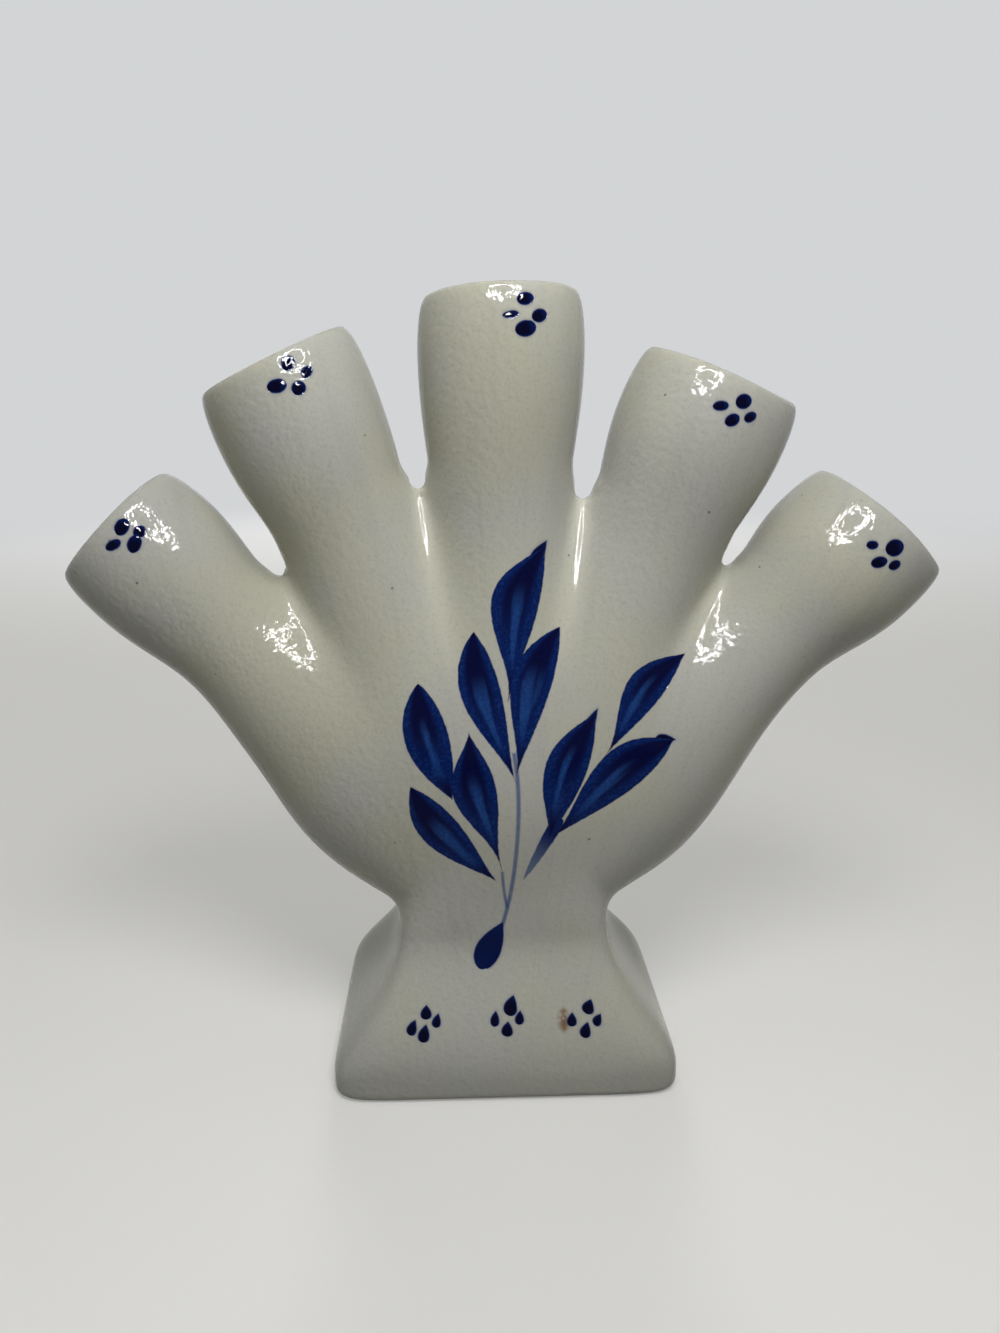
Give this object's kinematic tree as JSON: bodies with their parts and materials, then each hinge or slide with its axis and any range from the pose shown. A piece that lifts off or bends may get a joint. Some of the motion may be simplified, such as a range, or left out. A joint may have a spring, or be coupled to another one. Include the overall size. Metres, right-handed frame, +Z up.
{
  "type": "quintal vase",
  "caption": "Finger vase in salt-glazed stoneware: trumpet fingers fan out of one hollow palm on a flared square foot, with a painted cobalt leaf spray.",
  "frame": {"origin": "on the table under the middle of the foot", "axes": "+Z up, +X along the spread of the fan to the viewer's right, +Y to the back; the painted front faces -Y"},
  "size_m": [0.2034, 0.066, 0.183],
  "materials": {
    "salt_glaze": "glossy salt glaze with an orange-peel skin, painted in cobalt blue",
    "foot_glaze": "glossy salt glaze, greyer than the body, with cobalt drops",
    "bare_stoneware": "bare fired stoneware, matt"
  },
  "bodies": {
    "root": {"foot": "foot_glaze", "foot_floor": "bare_stoneware", "body_front": "salt_glaze", "body_back": "salt_glaze", "finger_far_left": "salt_glaze", "finger_left": "salt_glaze", "finger_middle": "salt_glaze", "finger_right": "salt_glaze", "finger_far_right": "salt_glaze"}
  },
  "joints": []
}
